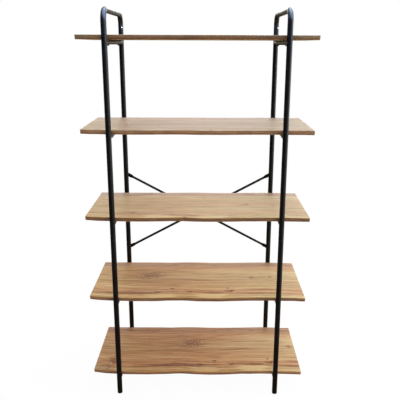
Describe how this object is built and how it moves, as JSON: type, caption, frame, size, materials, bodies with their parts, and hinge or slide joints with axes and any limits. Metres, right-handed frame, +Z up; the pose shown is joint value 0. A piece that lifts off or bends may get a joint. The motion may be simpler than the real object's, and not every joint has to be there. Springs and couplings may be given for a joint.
{
  "type": "shelving unit",
  "caption": "Open free-standing shelving unit: wood boards with wavy live edges on two black tubular side frames that arch over the top, with a crossed rear brace.",
  "frame": {"origin": "on the floor, at the middle of the whole unit's footprint", "axes": "+Z up, +X to the right as seen from the front, +Y to the back"},
  "size_m": [1.004, 0.478, 1.7798],
  "materials": {
    "steel": "satin black powder coat",
    "wood": "light tan grain, satin",
    "foot_plastic": "matte black",
    "black_screw": "black oxide",
    "zinc_screw": "zinc plated"
  },
  "bodies": {
    "root": {"upper_frame_left": "steel", "upper_frame_right": "steel", "lower_leg_front_left": "steel", "lower_leg_front_right": "steel", "lower_leg_rear_left": "steel", "lower_leg_rear_right": "steel", "foot_cap_front_left": "foot_plastic", "foot_cap_front_right": "foot_plastic", "foot_cap_rear_left": "foot_plastic", "foot_cap_rear_right": "foot_plastic", "crossbar_1_left": "steel", "crossbar_1_right": "steel", "crossbar_2_left": "steel", "crossbar_2_right": "steel", "crossbar_3_left": "steel", "crossbar_3_right": "steel", "crossbar_4_left": "steel", "crossbar_4_right": "steel", "crossbar_5_left": "steel", "crossbar_5_right": "steel", "shelf_board_1": "wood", "shelf_board_2": "wood", "shelf_board_3": "wood", "shelf_board_4": "wood", "shelf_board_5": "wood", "brace_rising_right": "steel", "brace_rising_left": "steel", "board_screw_1_front_left": "black_screw", "board_screw_1_front_right": "black_screw", "board_screw_1_rear_left": "black_screw", "board_screw_1_rear_right": "black_screw", "board_screw_2_front_left": "black_screw", "board_screw_2_front_right": "black_screw", "board_screw_2_rear_left": "black_screw", "board_screw_2_rear_right": "black_screw", "board_screw_3_front_left": "black_screw", "board_screw_3_front_right": "black_screw", "board_screw_3_rear_left": "black_screw", "board_screw_3_rear_right": "black_screw", "board_screw_4_front_left": "black_screw", "board_screw_4_front_right": "black_screw", "board_screw_4_rear_left": "black_screw", "board_screw_4_rear_right": "black_screw", "board_screw_5_front_left": "black_screw", "board_screw_5_front_right": "black_screw", "board_screw_5_rear_left": "black_screw", "board_screw_5_rear_right": "black_screw", "brace_screw_upper_left": "black_screw", "brace_screw_upper_right": "black_screw", "brace_screw_lower_left": "black_screw", "brace_screw_lower_right": "black_screw", "brace_centre_bolt": "black_screw", "brace_centre_nut": "black_screw", "strap_screw_upper_left": "zinc_screw", "strap_screw_upper_right": "zinc_screw", "strap_screw_lower_left": "black_screw", "strap_screw_lower_right": "black_screw"}
  },
  "joints": []
}
